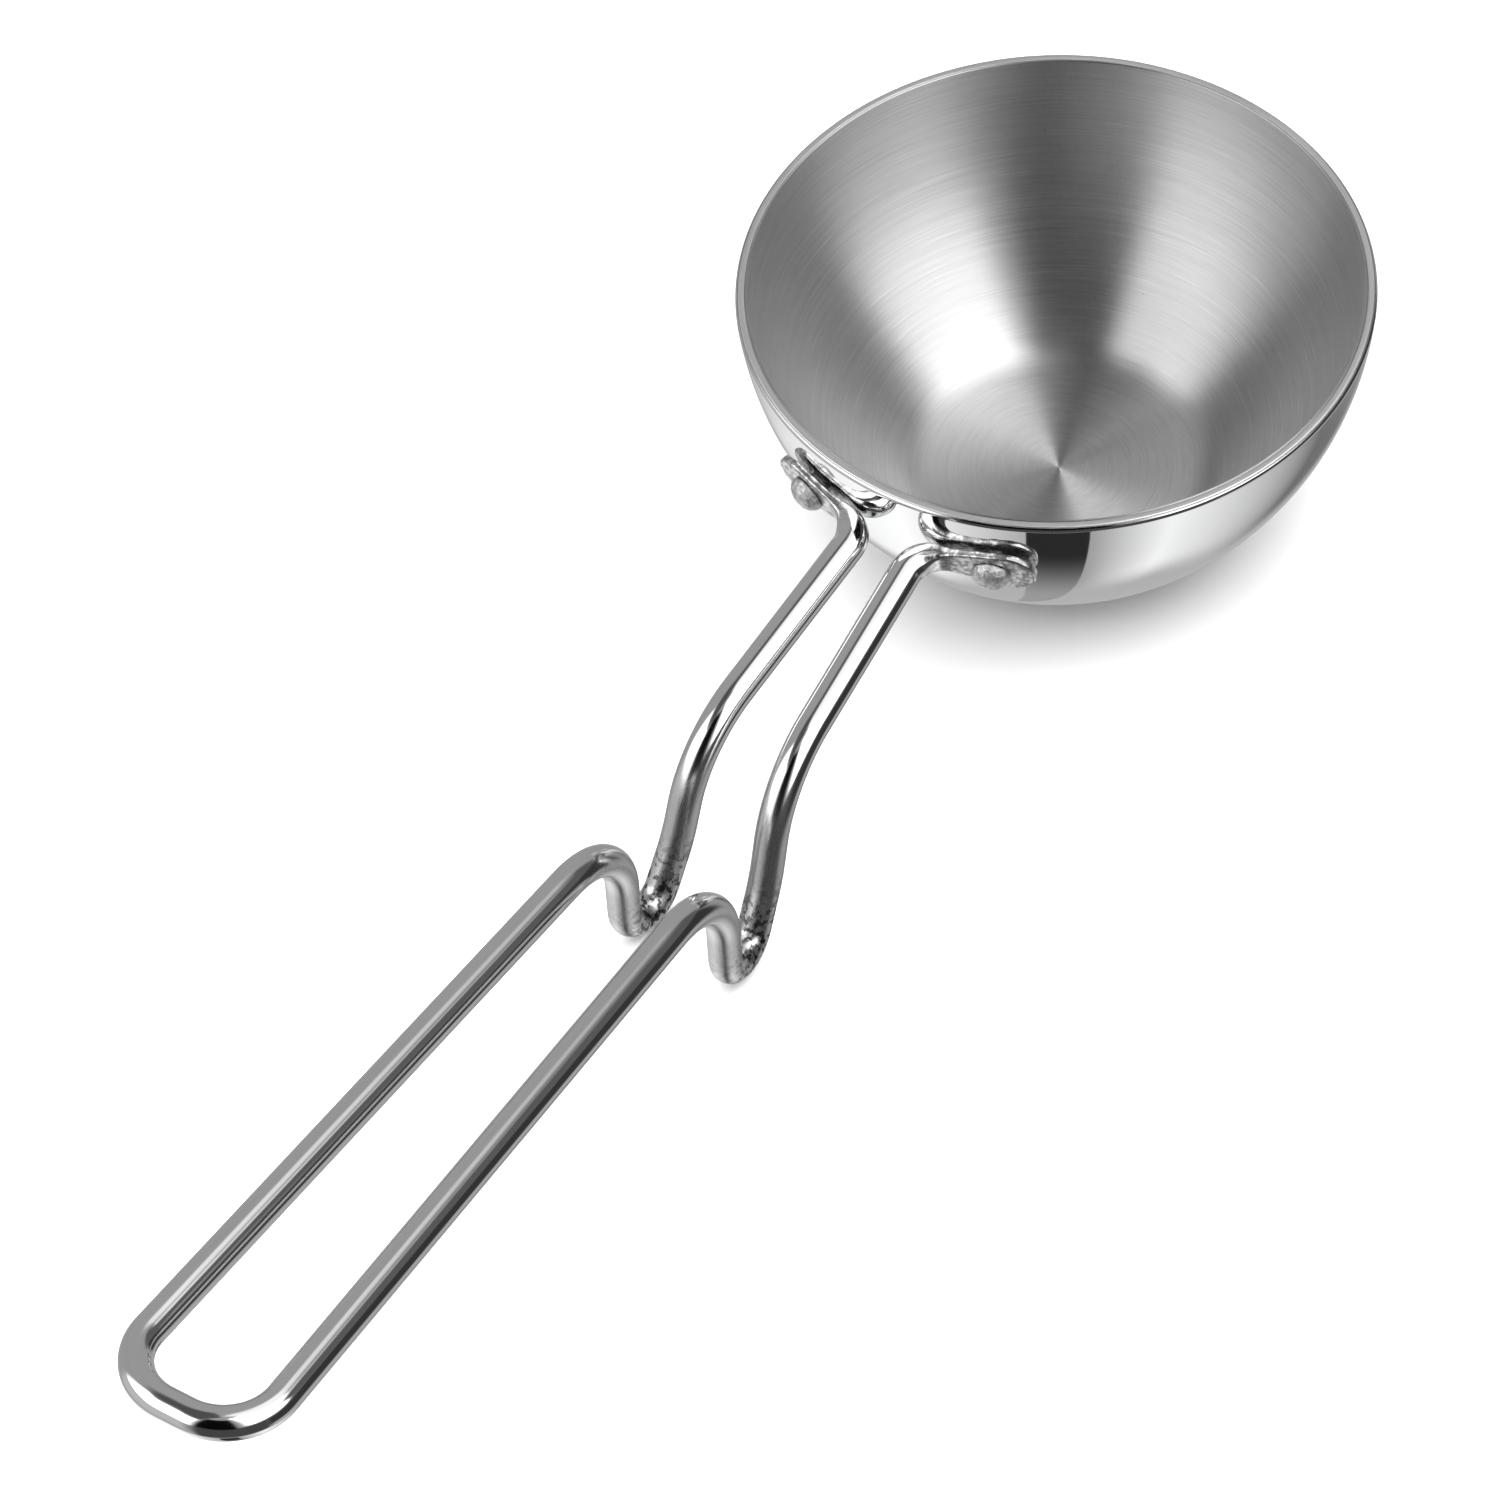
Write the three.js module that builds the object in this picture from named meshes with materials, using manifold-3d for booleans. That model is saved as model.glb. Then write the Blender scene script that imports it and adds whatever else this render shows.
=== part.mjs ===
// A small candle melting pot: a deep round bowl of three-layer clad metal, and a long handle bent
// from one steel rod. Both ends of the rod are forged flat into lugs and riveted to the bowl.
// Millimetres, +Z up. The origin is the centre of the bowl's flat base, and the handle runs along -X.
// The two halves of the handle mirror each other across the plane Y = 0.
import * as THREE from 'three';
import { mergeVertices } from 'three/addons/utils/BufferGeometryUtils.js';
import Module from 'manifold-3d';

// Bowl: an arc for the side wall, a smaller arc into the flat base.
const RIM_RADIUS = 57.5;
const RIM_HEIGHT = 52;
const WALL_ARC_CENTRE = new THREE.Vector2(-10.4, 56.4);
const BASE_CORNER_RADIUS = 12;
const OUTER_SKIN = 0.45;
const ALUMINIUM_CORE = 1.25;
const INNER_LINER = 0.4;
const LAYER_GAP = 0.05;
const BOWL_SIDES = 48;
const WALL_STEPS = 7;
const CORNER_STEPS = 4;

// Handle rod, with the flat lugs at its two ends.
const ROD_RADIUS = 3;
const ROD_SIDES = 12;
const BEND_STEP = THREE.MathUtils.degToRad(12);
const LOOP_END = -278;
const LOOP_CORNER_RADIUS = 11;
const LUG_BEND_RADIUS = 5.5;
const LUG_HEIGHT = 11;
const LUG_THICKNESS = 1.8;
const LUG_LENGTH = 16.5;
const LUG_GAP = 0.2;
const LUG_TIP_STEPS = 8;

// Corners of the left leg, with the radius that rounds each: the rod leaves the lug, bends down, turns
// back up in the saddle that rests near the table, and bends out into the grip.
const SADDLE_X = -131.8;
const LEG_CORNERS = [
  { x: -58.7, y: 5.7, z: 40.6, radius: LUG_BEND_RADIUS },
  { x: -109, y: 8.4, z: 33.6, radius: 21 },
  { x: -116, y: 9.1, z: 14.4, radius: 30 },
  { x: SADDLE_X, y: 10.4, z: -10.2, radius: 5.9 },
  { x: SADDLE_X, y: 10.4, z: 33.2, radius: 17.7 },
  { x: LOOP_END, y: 13.3, z: 50.8, radius: LOOP_CORNER_RADIUS },
];

// The angle round the bowl, from -X, at which the rod's end is buried in the lug.
const ROD_END_ANGLE = THREE.MathUtils.degToRad(12.2);

// Rivets: a hammered dome outside, a low factory head inside.
const RIVET_ANGLE = THREE.MathUtils.degToRad(19);
const RIVET_Z = 40;
const RIVET_TO_LUG_TIP = 8;
const SHANK_RADIUS = 2;
const DOME_RADIUS = 3.2;
const DOME_HEIGHT = 2.4;
const DOME_STEPS = 5;
const INNER_HEAD_RADIUS = 3.8;
const INNER_HEAD_FLAT_RADIUS = 3;
const INNER_HEAD_HEIGHT = 1;
const INNER_HEAD_GAP = 0.4;
const RIVET_GAP = 0.25;
const ROUND_SIDES = 20;

// The left rivet and lug are on the +Y side, the right ones on the -Y side.
const SIDES = [1, -1];

const WALL_THICKNESS = OUTER_SKIN + LAYER_GAP + ALUMINIUM_CORE + LAYER_GAP + INNER_LINER;
const WALL_ARC_RADIUS = Math.hypot(RIM_RADIUS - WALL_ARC_CENTRE.x, RIM_HEIGHT - WALL_ARC_CENTRE.y);

// Long enough to pass right through the lug and the wall.
const CUT_LENGTH = 6 * WALL_THICKNESS;

// Materials.
const mirrorSteel = new THREE.MeshStandardMaterial({ color: 0xd6d8da, roughness: 0.06, metalness: 1 });
const aluminium = new THREE.MeshStandardMaterial({ color: 0xc4c7ca, roughness: 0.35, metalness: 1 });
const brushedSteel = new THREE.MeshStandardMaterial({ color: 0xc2c3c4, roughness: 0.32, metalness: 1 });
const rodSteel = new THREE.MeshStandardMaterial({ color: 0xcfd0d2, roughness: 0.14, metalness: 1 });
const rivetSteel = new THREE.MeshStandardMaterial({ color: 0xb4b3b0, roughness: 0.4, metalness: 1 });

// ---- Solids ----

const wasm = await Module();
wasm.setup();

// A closed three.js geometry as a manifold solid: shared corners merged, collapsed faces dropped.
function toSolid(geometry) {
  const bare = new THREE.BufferGeometry();
  bare.setAttribute('position', geometry.getAttribute('position'));
  bare.setIndex(geometry.index);
  const merged = mergeVertices(bare, 1e-4);
  const corners = merged.index.array;
  const kept = [];
  for (let i = 0; i < corners.length; i += 3) {
    const [a, b, c] = corners.slice(i, i + 3);
    if (a !== b && b !== c && c !== a) kept.push(a, b, c);
  }
  const vertProperties = new Float32Array(merged.getAttribute('position').array);
  const triVerts = new Uint32Array(kept);
  return new wasm.Manifold(new wasm.Mesh({ numProp: 3, vertProperties, triVerts }));
}

function toMesh(solid, name, material) {
  const { vertProperties, triVerts } = solid.getMesh();
  const geometry = new THREE.BufferGeometry();
  geometry.setAttribute('position', new THREE.BufferAttribute(vertProperties, 3));
  geometry.setIndex(new THREE.BufferAttribute(triVerts, 1));
  const mesh = new THREE.Mesh(geometry, material);
  mesh.name = name;
  return mesh;
}

// A lathe turned about Z instead of Y.
function turned(profile, sides) {
  return new THREE.LatheGeometry(profile, sides).rotateX(Math.PI / 2);
}

// ---- Bowl ----

// Where the side wall's arc meets the base corner's arc, and where the corner meets the flat base.
const cornerCentre = new THREE.Vector2();
cornerCentre.y = BASE_CORNER_RADIUS;
cornerCentre.x = WALL_ARC_CENTRE.x + Math.sqrt(
  (WALL_ARC_RADIUS - BASE_CORNER_RADIUS) ** 2 - (WALL_ARC_CENTRE.y - BASE_CORNER_RADIUS) ** 2);
const cornerEndAngle = Math.atan2(cornerCentre.y - WALL_ARC_CENTRE.y, cornerCentre.x - WALL_ARC_CENTRE.x);

// The bowl's section a given depth under its outer surface, from the axis out and up to the rim.
function bowlCurve(depth) {
  const points = [new THREE.Vector2(0, depth)];
  const cornerRadius = BASE_CORNER_RADIUS - depth;
  for (let i = 0; i <= CORNER_STEPS; i += 1) {
    const angle = THREE.MathUtils.lerp(-Math.PI / 2, cornerEndAngle, i / CORNER_STEPS);
    points.push(around(cornerCentre, cornerRadius, angle));
  }
  const wallRadius = WALL_ARC_RADIUS - depth;
  const rimAngle = Math.asin((RIM_HEIGHT - WALL_ARC_CENTRE.y) / wallRadius);
  for (let i = 1; i <= WALL_STEPS; i += 1) {
    const angle = THREE.MathUtils.lerp(cornerEndAngle, rimAngle, i / WALL_STEPS);
    points.push(around(WALL_ARC_CENTRE, wallRadius, angle));
  }
  return points;
}

function around(centre, radius, angle) {
  return new THREE.Vector2(centre.x + radius * Math.cos(angle), centre.y + radius * Math.sin(angle));
}

// One layer of the clad wall, between two depths, with clearance holes for both rivets.
function bowlLayer(outerDepth, innerDepth) {
  const profile = [...bowlCurve(outerDepth), ...bowlCurve(innerDepth).reverse()];
  const shell = toSolid(turned(profile, BOWL_SIDES));
  return SIDES.reduce((layer, side) => layer.subtract(rivetHole(side)), shell);
}

// ---- Rivets ----

// The wall's outer surface at the rivet, and its outward normal, in the plane through the axis.
const rivetDrop = WALL_ARC_CENTRE.y - RIVET_Z;
const rivetWallRadius = WALL_ARC_CENTRE.x + Math.sqrt(WALL_ARC_RADIUS ** 2 - rivetDrop ** 2);
const wallTilt = Math.asin(rivetDrop / WALL_ARC_RADIUS);

// Moves a shape drawn along +Z from the origin out to the wall, so that +Z becomes the wall's normal.
function placeOnWall(geometry, side) {
  return geometry
    .rotateY(Math.PI / 2 + wallTilt)
    .translate(rivetWallRadius, 0, RIVET_Z)
    .rotateZ(Math.PI - side * RIVET_ANGLE);
}

function rivetHole(side) {
  const holeRadius = SHANK_RADIUS + RIVET_GAP;
  const hole = new THREE.CylinderGeometry(holeRadius, holeRadius, CUT_LENGTH, ROUND_SIDES);
  return toSolid(placeOnWall(hole.rotateX(Math.PI / 2), side));
}

function rivet(side) {
  const seat = LUG_GAP + LUG_THICKNESS + RIVET_GAP;
  const innerSeat = -WALL_THICKNESS - INNER_HEAD_GAP;
  const profile = [
    new THREE.Vector2(0, innerSeat - INNER_HEAD_HEIGHT),
    new THREE.Vector2(INNER_HEAD_FLAT_RADIUS, innerSeat - INNER_HEAD_HEIGHT),
    new THREE.Vector2(INNER_HEAD_RADIUS, innerSeat),
    new THREE.Vector2(SHANK_RADIUS, innerSeat),
    new THREE.Vector2(SHANK_RADIUS, seat),
  ];
  for (let i = 0; i <= DOME_STEPS; i += 1) {
    const angle = (i / DOME_STEPS) * (Math.PI / 2);
    const radius = i === DOME_STEPS ? 0 : DOME_RADIUS * Math.cos(angle);
    profile.push(new THREE.Vector2(radius, seat + DOME_HEIGHT * Math.sin(angle)));
  }
  return toSolid(placeOnWall(turned(profile, ROUND_SIDES), side));
}

// ---- Handle ----

// A path through stations: one at each end of a straight run, and several round each bend.
class StationPath extends THREE.Curve {
  constructor(stations) {
    super();
    this.stations = stations;
  }

  getSpacedPoints() {
    return this.stations;
  }

  getPoint(t) {
    const place = t * (this.stations.length - 1);
    const index = Math.min(Math.floor(place), this.stations.length - 2);
    return this.stations[index].clone().lerp(this.stations[index + 1], place - index);
  }

  getPointAt(u) {
    return this.getPoint(u);
  }

  getTangentAt(u) {
    const last = this.stations.length - 1;
    const index = Math.round(u * last);
    const before = Math.max(index - 1, 0);
    const after = Math.min(index + 1, last);
    const incoming = this.stations[index].clone().sub(this.stations[before]).normalize();
    const outgoing = this.stations[after].clone().sub(this.stations[index]).normalize();
    return incoming.add(outgoing).normalize();
  }
}

// The stations of one bend: the arc that rounds a corner between two straight runs.
function bendStations(before, corner, after, radius) {
  const incoming = corner.clone().sub(before).normalize();
  const outgoing = after.clone().sub(corner).normalize();
  const turn = incoming.angleTo(outgoing);
  const inward = outgoing.clone().addScaledVector(incoming, -Math.cos(turn)).normalize();
  const start = corner.clone().addScaledVector(incoming, -radius * Math.tan(turn / 2));
  const centre = start.addScaledVector(inward, radius);
  const steps = Math.ceil(turn / BEND_STEP);
  const stations = [];
  for (let i = 0; i <= steps; i += 1) {
    const angle = (turn * i) / steps;
    stations.push(centre.clone()
      .addScaledVector(incoming, radius * Math.sin(angle))
      .addScaledVector(inward, -radius * Math.cos(angle)));
  }
  return stations;
}

// One leg's corners, after the rod's buried end: a short run along the wall, inside the lug.
function legPoints(side) {
  const endRadius = rivetWallRadius + LUG_GAP + ROD_RADIUS;
  const rodEnd = new THREE.Vector3(
    -endRadius * Math.cos(ROD_END_ANGLE), side * endRadius * Math.sin(ROD_END_ANGLE), RIVET_Z);
  const corners = LEG_CORNERS.map(({ x, y, z }) => new THREE.Vector3(x, side * y, z));
  return [rodEnd, ...corners];
}

function rodPath() {
  const left = legPoints(1);
  const right = legPoints(-1).reverse();
  const radii = LEG_CORNERS.map(({ radius }) => radius);
  const corners = [...left, ...right];
  const bends = [...radii, ...radii.reverse()];
  const stations = [corners[0]];
  bends.forEach((radius, i) => {
    stations.push(...bendStations(corners[i], corners[i + 1], corners[i + 2], radius));
  });
  stations.push(corners[corners.length - 1]);
  return new StationPath(stations);
}

function rod() {
  const section = new THREE.Shape();
  section.absarc(0, 0, ROD_RADIUS, 0, 2 * Math.PI);
  const extrudePath = rodPath();
  const steps = extrudePath.stations.length - 1;
  return toSolid(new THREE.ExtrudeGeometry(section, { steps, extrudePath, curveSegments: ROD_SIDES / 2 }));
}

// A lug: a strip of a ring that follows the wall, trimmed to a round-ended outline about the rivet.
function lug(side) {
  const halfHeight = LUG_HEIGHT / 2;
  const ringProfile = [
    [0, -halfHeight],
    [LUG_THICKNESS, -halfHeight],
    [LUG_THICKNESS, halfHeight],
    [0, halfHeight],
    [0, -halfHeight],
  ].map(([out, up]) => new THREE.Vector2(
    rivetWallRadius + (LUG_GAP + out) * Math.cos(wallTilt) + up * Math.sin(wallTilt),
    RIVET_Z - (LUG_GAP + out) * Math.sin(wallTilt) + up * Math.cos(wallTilt)));
  const ring = toSolid(turned(ringProfile, BOWL_SIDES));
  return ring.intersect(toSolid(lugBlock(side)));
}

// The lug's outline as a thick block: as tall as the rod at its root, widening to a round tip.
function lugBlock(side) {
  const tipRadius = LUG_HEIGHT / 2;
  const tipCentre = RIVET_TO_LUG_TIP - tipRadius;
  const root = RIVET_TO_LUG_TIP - LUG_LENGTH;
  const outline = new THREE.Shape();
  outline.moveTo(-ROD_RADIUS, root);
  outline.lineTo(ROD_RADIUS, root);
  outline.absarc(0, tipCentre, tipRadius, 0, Math.PI);
  outline.closePath();
  const block = new THREE.ExtrudeGeometry(
    outline, { depth: CUT_LENGTH, bevelEnabled: false, curveSegments: LUG_TIP_STEPS / 2 });
  block.translate(0, 0, -CUT_LENGTH / 2);
  if (side > 0) block.rotateZ(Math.PI);
  return placeOnWall(block, side);
}

function handleRod() {
  let solid = rod();
  for (const side of SIDES) {
    solid = solid.add(lug(side)).subtract(rivetHole(side));
  }
  return solid;
}

// ---- Assembly ----

// Depths under the bowl's outer surface at which the layers start.
const coreStart = OUTER_SKIN + LAYER_GAP;
const linerStart = WALL_THICKNESS - INNER_LINER;

const pot = new THREE.Group();
pot.add(
  toMesh(bowlLayer(0, OUTER_SKIN), 'outer_skin', mirrorSteel),
  toMesh(bowlLayer(coreStart, coreStart + ALUMINIUM_CORE), 'aluminium_core', aluminium),
  toMesh(bowlLayer(linerStart, WALL_THICKNESS), 'inner_liner', brushedSteel),
  toMesh(handleRod(), 'handle_rod', rodSteel),
  toMesh(rivet(1), 'rivet_left', rivetSteel),
  toMesh(rivet(-1), 'rivet_right', rivetSteel),
);

export default pot;
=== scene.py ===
# A small candle melting pot: a deep bowl pressed from three-layer clad sheet, and one long steel rod
# bent into a double handle, with its two ends forged flat and riveted to the bowl's wall.
# Metres, +Z up, handle along -X. The bowl stands on the origin.
import math

import bmesh
import bpy
from mathutils import Matrix, Vector


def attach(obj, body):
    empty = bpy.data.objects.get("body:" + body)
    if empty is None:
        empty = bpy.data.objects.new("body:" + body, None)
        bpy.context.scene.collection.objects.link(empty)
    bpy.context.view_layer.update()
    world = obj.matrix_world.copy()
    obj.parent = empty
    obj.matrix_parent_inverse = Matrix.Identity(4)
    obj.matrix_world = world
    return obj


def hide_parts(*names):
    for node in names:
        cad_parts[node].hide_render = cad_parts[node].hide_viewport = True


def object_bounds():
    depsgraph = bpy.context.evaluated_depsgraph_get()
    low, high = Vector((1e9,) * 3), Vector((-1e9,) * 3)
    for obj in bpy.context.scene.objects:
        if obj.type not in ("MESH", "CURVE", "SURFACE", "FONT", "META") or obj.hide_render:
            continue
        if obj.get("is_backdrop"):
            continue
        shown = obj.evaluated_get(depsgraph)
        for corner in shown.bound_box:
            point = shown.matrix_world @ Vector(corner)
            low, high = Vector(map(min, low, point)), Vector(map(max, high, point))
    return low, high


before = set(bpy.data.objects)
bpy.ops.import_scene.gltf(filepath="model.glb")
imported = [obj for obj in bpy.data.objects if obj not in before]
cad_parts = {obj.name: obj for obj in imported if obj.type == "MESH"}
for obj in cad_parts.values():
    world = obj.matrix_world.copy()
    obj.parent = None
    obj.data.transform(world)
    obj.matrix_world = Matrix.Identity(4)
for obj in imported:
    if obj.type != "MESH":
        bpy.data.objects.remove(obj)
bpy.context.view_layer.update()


# ---- Camera ----
# A long lens looks down steeply over the handle's loop into the bowl, turned a little on its own axis.

MM = 0.001
SENSOR_WIDTH = 36.0
FOCAL_LENGTH = 5.06814 * SENSOR_WIDTH
CAMERA_AZIMUTH = math.radians(-55.06)
CAMERA_ELEVATION = math.radians(51.155)
CAMERA_ROLL = math.radians(-3.92)
CAMERA_DISTANCE = 1359.09 * MM
RIM_CENTRE = Vector((0, 0, 52 * MM))
RIM_RIGHT_OF_VIEW = 54.656 * MM
RIM_ABOVE_VIEW = 83.167 * MM

view_back = Vector((
    math.sin(CAMERA_AZIMUTH) * math.cos(CAMERA_ELEVATION),
    -math.cos(CAMERA_AZIMUTH) * math.cos(CAMERA_ELEVATION),
    math.sin(CAMERA_ELEVATION),
))
level_right = Vector((math.cos(CAMERA_AZIMUTH), math.sin(CAMERA_AZIMUTH), 0))
level_up = view_back.cross(level_right)
view_right = level_right * math.cos(CAMERA_ROLL) + level_up * math.sin(CAMERA_ROLL)
view_up = level_up * math.cos(CAMERA_ROLL) - level_right * math.sin(CAMERA_ROLL)

camera_data = bpy.data.cameras.new("camera")
camera_data.sensor_width = SENSOR_WIDTH
camera_data.lens = FOCAL_LENGTH
camera_data.clip_start = 0.05
camera_data.clip_end = 20
camera = bpy.data.objects.new("camera", camera_data)
camera_place = Matrix((view_right, view_up, view_back)).transposed().to_4x4()
camera_place.translation = (
    RIM_CENTRE + view_back * CAMERA_DISTANCE - view_right * RIM_RIGHT_OF_VIEW - view_up * RIM_ABOVE_VIEW
)
camera.matrix_world = camera_place
bpy.context.collection.objects.link(camera)
bpy.context.scene.camera = camera


# ---- Outer skin ----
# The outside of the bowl: thin stainless steel, the first of three metals rolled into one sheet and
# pressed round. It is polished to a mirror and cut square at the rim, and two holes for the rivets go
# through all three layers.

RIM_RADIUS = 57.5
RIM_HEIGHT = 52.0
WALL_ARC_X = -10.4
WALL_ARC_Z = 56.4
WALL_ARC_RADIUS = math.hypot(RIM_RADIUS - WALL_ARC_X, RIM_HEIGHT - WALL_ARC_Z)
CORNER_RADIUS = 12.0
CORNER_X = WALL_ARC_X + math.sqrt(
    (WALL_ARC_RADIUS - CORNER_RADIUS) ** 2 - (WALL_ARC_Z - CORNER_RADIUS) ** 2)
CORNER_END = math.atan2(CORNER_RADIUS - WALL_ARC_Z, CORNER_X - WALL_ARC_X)
RIM_EDGE_DEPTH = 1.3
LAYER_GAP = 0.05
SKIN_THICKNESS = 0.45
BOWL_SIDES = 256


def bowl_curve(depth):
    """The bowl's section at a depth under its outer surface, from the axis to just short of the rim."""
    points = [(radius, depth) for radius in (0, 1, 3, 6, 10, 14, 18, 21)]
    corner_steps = 18
    for i in range(corner_steps + 1):
        angle = -math.pi / 2 + (CORNER_END + math.pi / 2) * i / corner_steps
        radius = CORNER_RADIUS - depth
        points.append((CORNER_X + radius * math.cos(angle), CORNER_RADIUS + radius * math.sin(angle)))
    wall_steps = 40
    radius = WALL_ARC_RADIUS - depth
    rim_angle = math.asin((RIM_HEIGHT - RIM_EDGE_DEPTH - WALL_ARC_Z) / radius)
    for i in range(1, wall_steps + 1):
        angle = CORNER_END + (rim_angle - CORNER_END) * i / wall_steps
        points.append((WALL_ARC_X + radius * math.cos(angle), WALL_ARC_Z + radius * math.sin(angle)))
    return points


def rim_edge(depth, rounding, inward, reach=None, top_height=RIM_HEIGHT):
    """The rounded edge where a layer's face meets the cut rim. inward is +1 on its outer face and -1 on its
    inner. top_height is where the rounding ends.
    With a reach, the rounding stops that far in, because it goes on in the next layer."""
    radius = WALL_ARC_RADIUS - depth
    top = WALL_ARC_X + math.sqrt(radius ** 2 - (top_height - rounding - WALL_ARC_Z) ** 2)
    end = math.pi / 2 if reach is None else math.acos(1 - reach / rounding)
    steps = 7
    points = [(top, top_height - rounding - 0.1)]
    for i in range(steps + 1):
        angle = end * i / steps
        points.append((
            top - inward * rounding * (1 - math.cos(angle)),
            top_height - rounding + rounding * math.sin(angle),
        ))
    return points


def layer_profile(outer_depth, inner_depth, outer_rounding, inner_rounding, reach=None, drop=0.0):
    """A layer's section. drop is how far the edge of its inner face lies below the rim."""
    outside = bowl_curve(outer_depth) + rim_edge(outer_depth, outer_rounding, 1, reach)
    inside = bowl_curve(inner_depth) + rim_edge(inner_depth, inner_rounding, -1, None, RIM_HEIGHT - drop)
    return outside + inside[::-1]


def add_socket(tree, name, kind, default=None, way="INPUT"):
    socket = tree.interface.new_socket(name, in_out=way, socket_type=kind)
    if default is not None:
        socket.default_value = default
    return socket


def node(tree, kind, **settings):
    made = tree.nodes.new(kind)
    for name, value in settings.items():
        setattr(made, name, value)
    return made


def calculate(tree, operation, a, b=None):
    """A maths node of two values, each a socket or a number. Returns its output."""
    made = node(tree, "ShaderNodeMath", operation=operation)
    for socket, value in zip(made.inputs, (a, b)):
        if isinstance(value, bpy.types.NodeSocket):
            tree.links.new(value, socket)
        elif value is not None:
            socket.default_value = value
    return made.outputs[0]


def calculate_vector(tree, operation, a, b=None, scale=None):
    made = node(tree, "ShaderNodeVectorMath", operation=operation)
    for socket, value in zip(made.inputs, (a, b)):
        if isinstance(value, bpy.types.NodeSocket):
            tree.links.new(value, socket)
        elif value is not None:
            socket.default_value = value
    if scale is not None:
        tree.links.new(scale, made.inputs["Scale"])
    return made.outputs["Vector"]


def rows_and_columns(tree, points, columns):
    """A grid with a row for each point of a guide mesh, and each of its vertices' row and column."""
    size = node(tree, "GeometryNodeAttributeDomainSize", component="MESH")
    tree.links.new(points, size.inputs[0])
    grid = node(tree, "GeometryNodeMeshGrid")
    tree.links.new(size.outputs["Point Count"], grid.inputs["Vertices X"])
    tree.links.new(columns, grid.inputs["Vertices Y"])
    index = node(tree, "GeometryNodeInputIndex").outputs[0]
    row = calculate(tree, "FLOOR", calculate(tree, "DIVIDE", index, columns))
    column = calculate(tree, "FLOORED_MODULO", index, columns)
    return grid.outputs["Mesh"], row, column


def from_guide(tree, points, row, kind, name=None):
    """A guide point's position or named attribute, read at a row of the grid."""
    if name is None:
        value = node(tree, "GeometryNodeInputPosition").outputs[0]
    else:
        reader = node(tree, "GeometryNodeInputNamedAttribute", data_type=kind)
        reader.inputs["Name"].default_value = name
        value = reader.outputs["Attribute"]
    sample = node(tree, "GeometryNodeSampleIndex", data_type=kind, domain="POINT")
    tree.links.new(points, sample.inputs["Geometry"])
    tree.links.new(value, sample.inputs["Value"])
    tree.links.new(row, sample.inputs["Index"])
    return sample.outputs[0]


def dent(tree, mesh, given):
    """Moves the forged points of a mesh in and out along its normals, as hammer blows do."""
    position = node(tree, "GeometryNodeInputPosition").outputs[0]
    blows = node(tree, "ShaderNodeTexNoise", noise_dimensions="4D")
    blows.inputs["Detail"].default_value = 2
    tree.links.new(position, blows.inputs["Vector"])
    tree.links.new(calculate(tree, "DIVIDE", 1, given["Dent size"]), blows.inputs["Scale"])
    tree.links.new(given["Seed"], blows.inputs["W"])
    forged = node(tree, "GeometryNodeInputNamedAttribute", data_type="FLOAT")
    forged.inputs["Name"].default_value = "forged"
    depth = calculate(tree, "MULTIPLY", given["Dent depth"], forged.outputs["Attribute"])
    lift = calculate(tree, "MULTIPLY", depth, calculate(tree, "SUBTRACT", blows.outputs["Fac"], 0.62))
    normal = node(tree, "GeometryNodeInputNormal").outputs[0]
    move = node(tree, "GeometryNodeSetPosition")
    tree.links.new(mesh, move.inputs["Geometry"])
    tree.links.new(calculate_vector(tree, "SCALE", normal, scale=lift), move.inputs["Offset"])
    return move.outputs[0]


def keep_on_points(tree, mesh, name, value):
    """Stores a number on each point of a mesh."""
    mark = node(tree, "GeometryNodeStoreNamedAttribute", data_type="FLOAT", domain="POINT")
    mark.inputs["Name"].default_value = name
    tree.links.new(mesh, mark.inputs["Geometry"])
    tree.links.new(value, mark.inputs["Value"])
    return mark.outputs[0]


def add_dent_sockets(tree):
    add_socket(tree, "Dent depth", "NodeSocketFloat", 0.0)
    add_socket(tree, "Dent size", "NodeSocketFloat", 0.001)
    add_socket(tree, "Seed", "NodeSocketFloat", 0.0)


def finish_tree(tree, mesh, material, given):
    """Merges a grid's seams and poles, dents and smooths it, gives it its material and sends it out."""
    merge = node(tree, "GeometryNodeMergeByDistance")
    merge.inputs["Distance"].default_value = 0.0002 * MM
    smooth = node(tree, "GeometryNodeSetShadeSmooth")
    realize = node(tree, "GeometryNodeRealizeInstances")
    paint = node(tree, "GeometryNodeSetMaterial")
    add_socket(tree, "Geometry", "NodeSocketGeometry", way="OUTPUT")
    out = node(tree, "NodeGroupOutput")
    tree.links.new(mesh, merge.inputs["Geometry"])
    tree.links.new(dent(tree, merge.outputs[0], given), smooth.inputs[0])
    tree.links.new(smooth.outputs[0], realize.inputs[0])
    tree.links.new(realize.outputs[0], paint.inputs["Geometry"])
    tree.links.new(material, paint.inputs["Material"])
    tree.links.new(paint.outputs[0], out.inputs[0])


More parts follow.
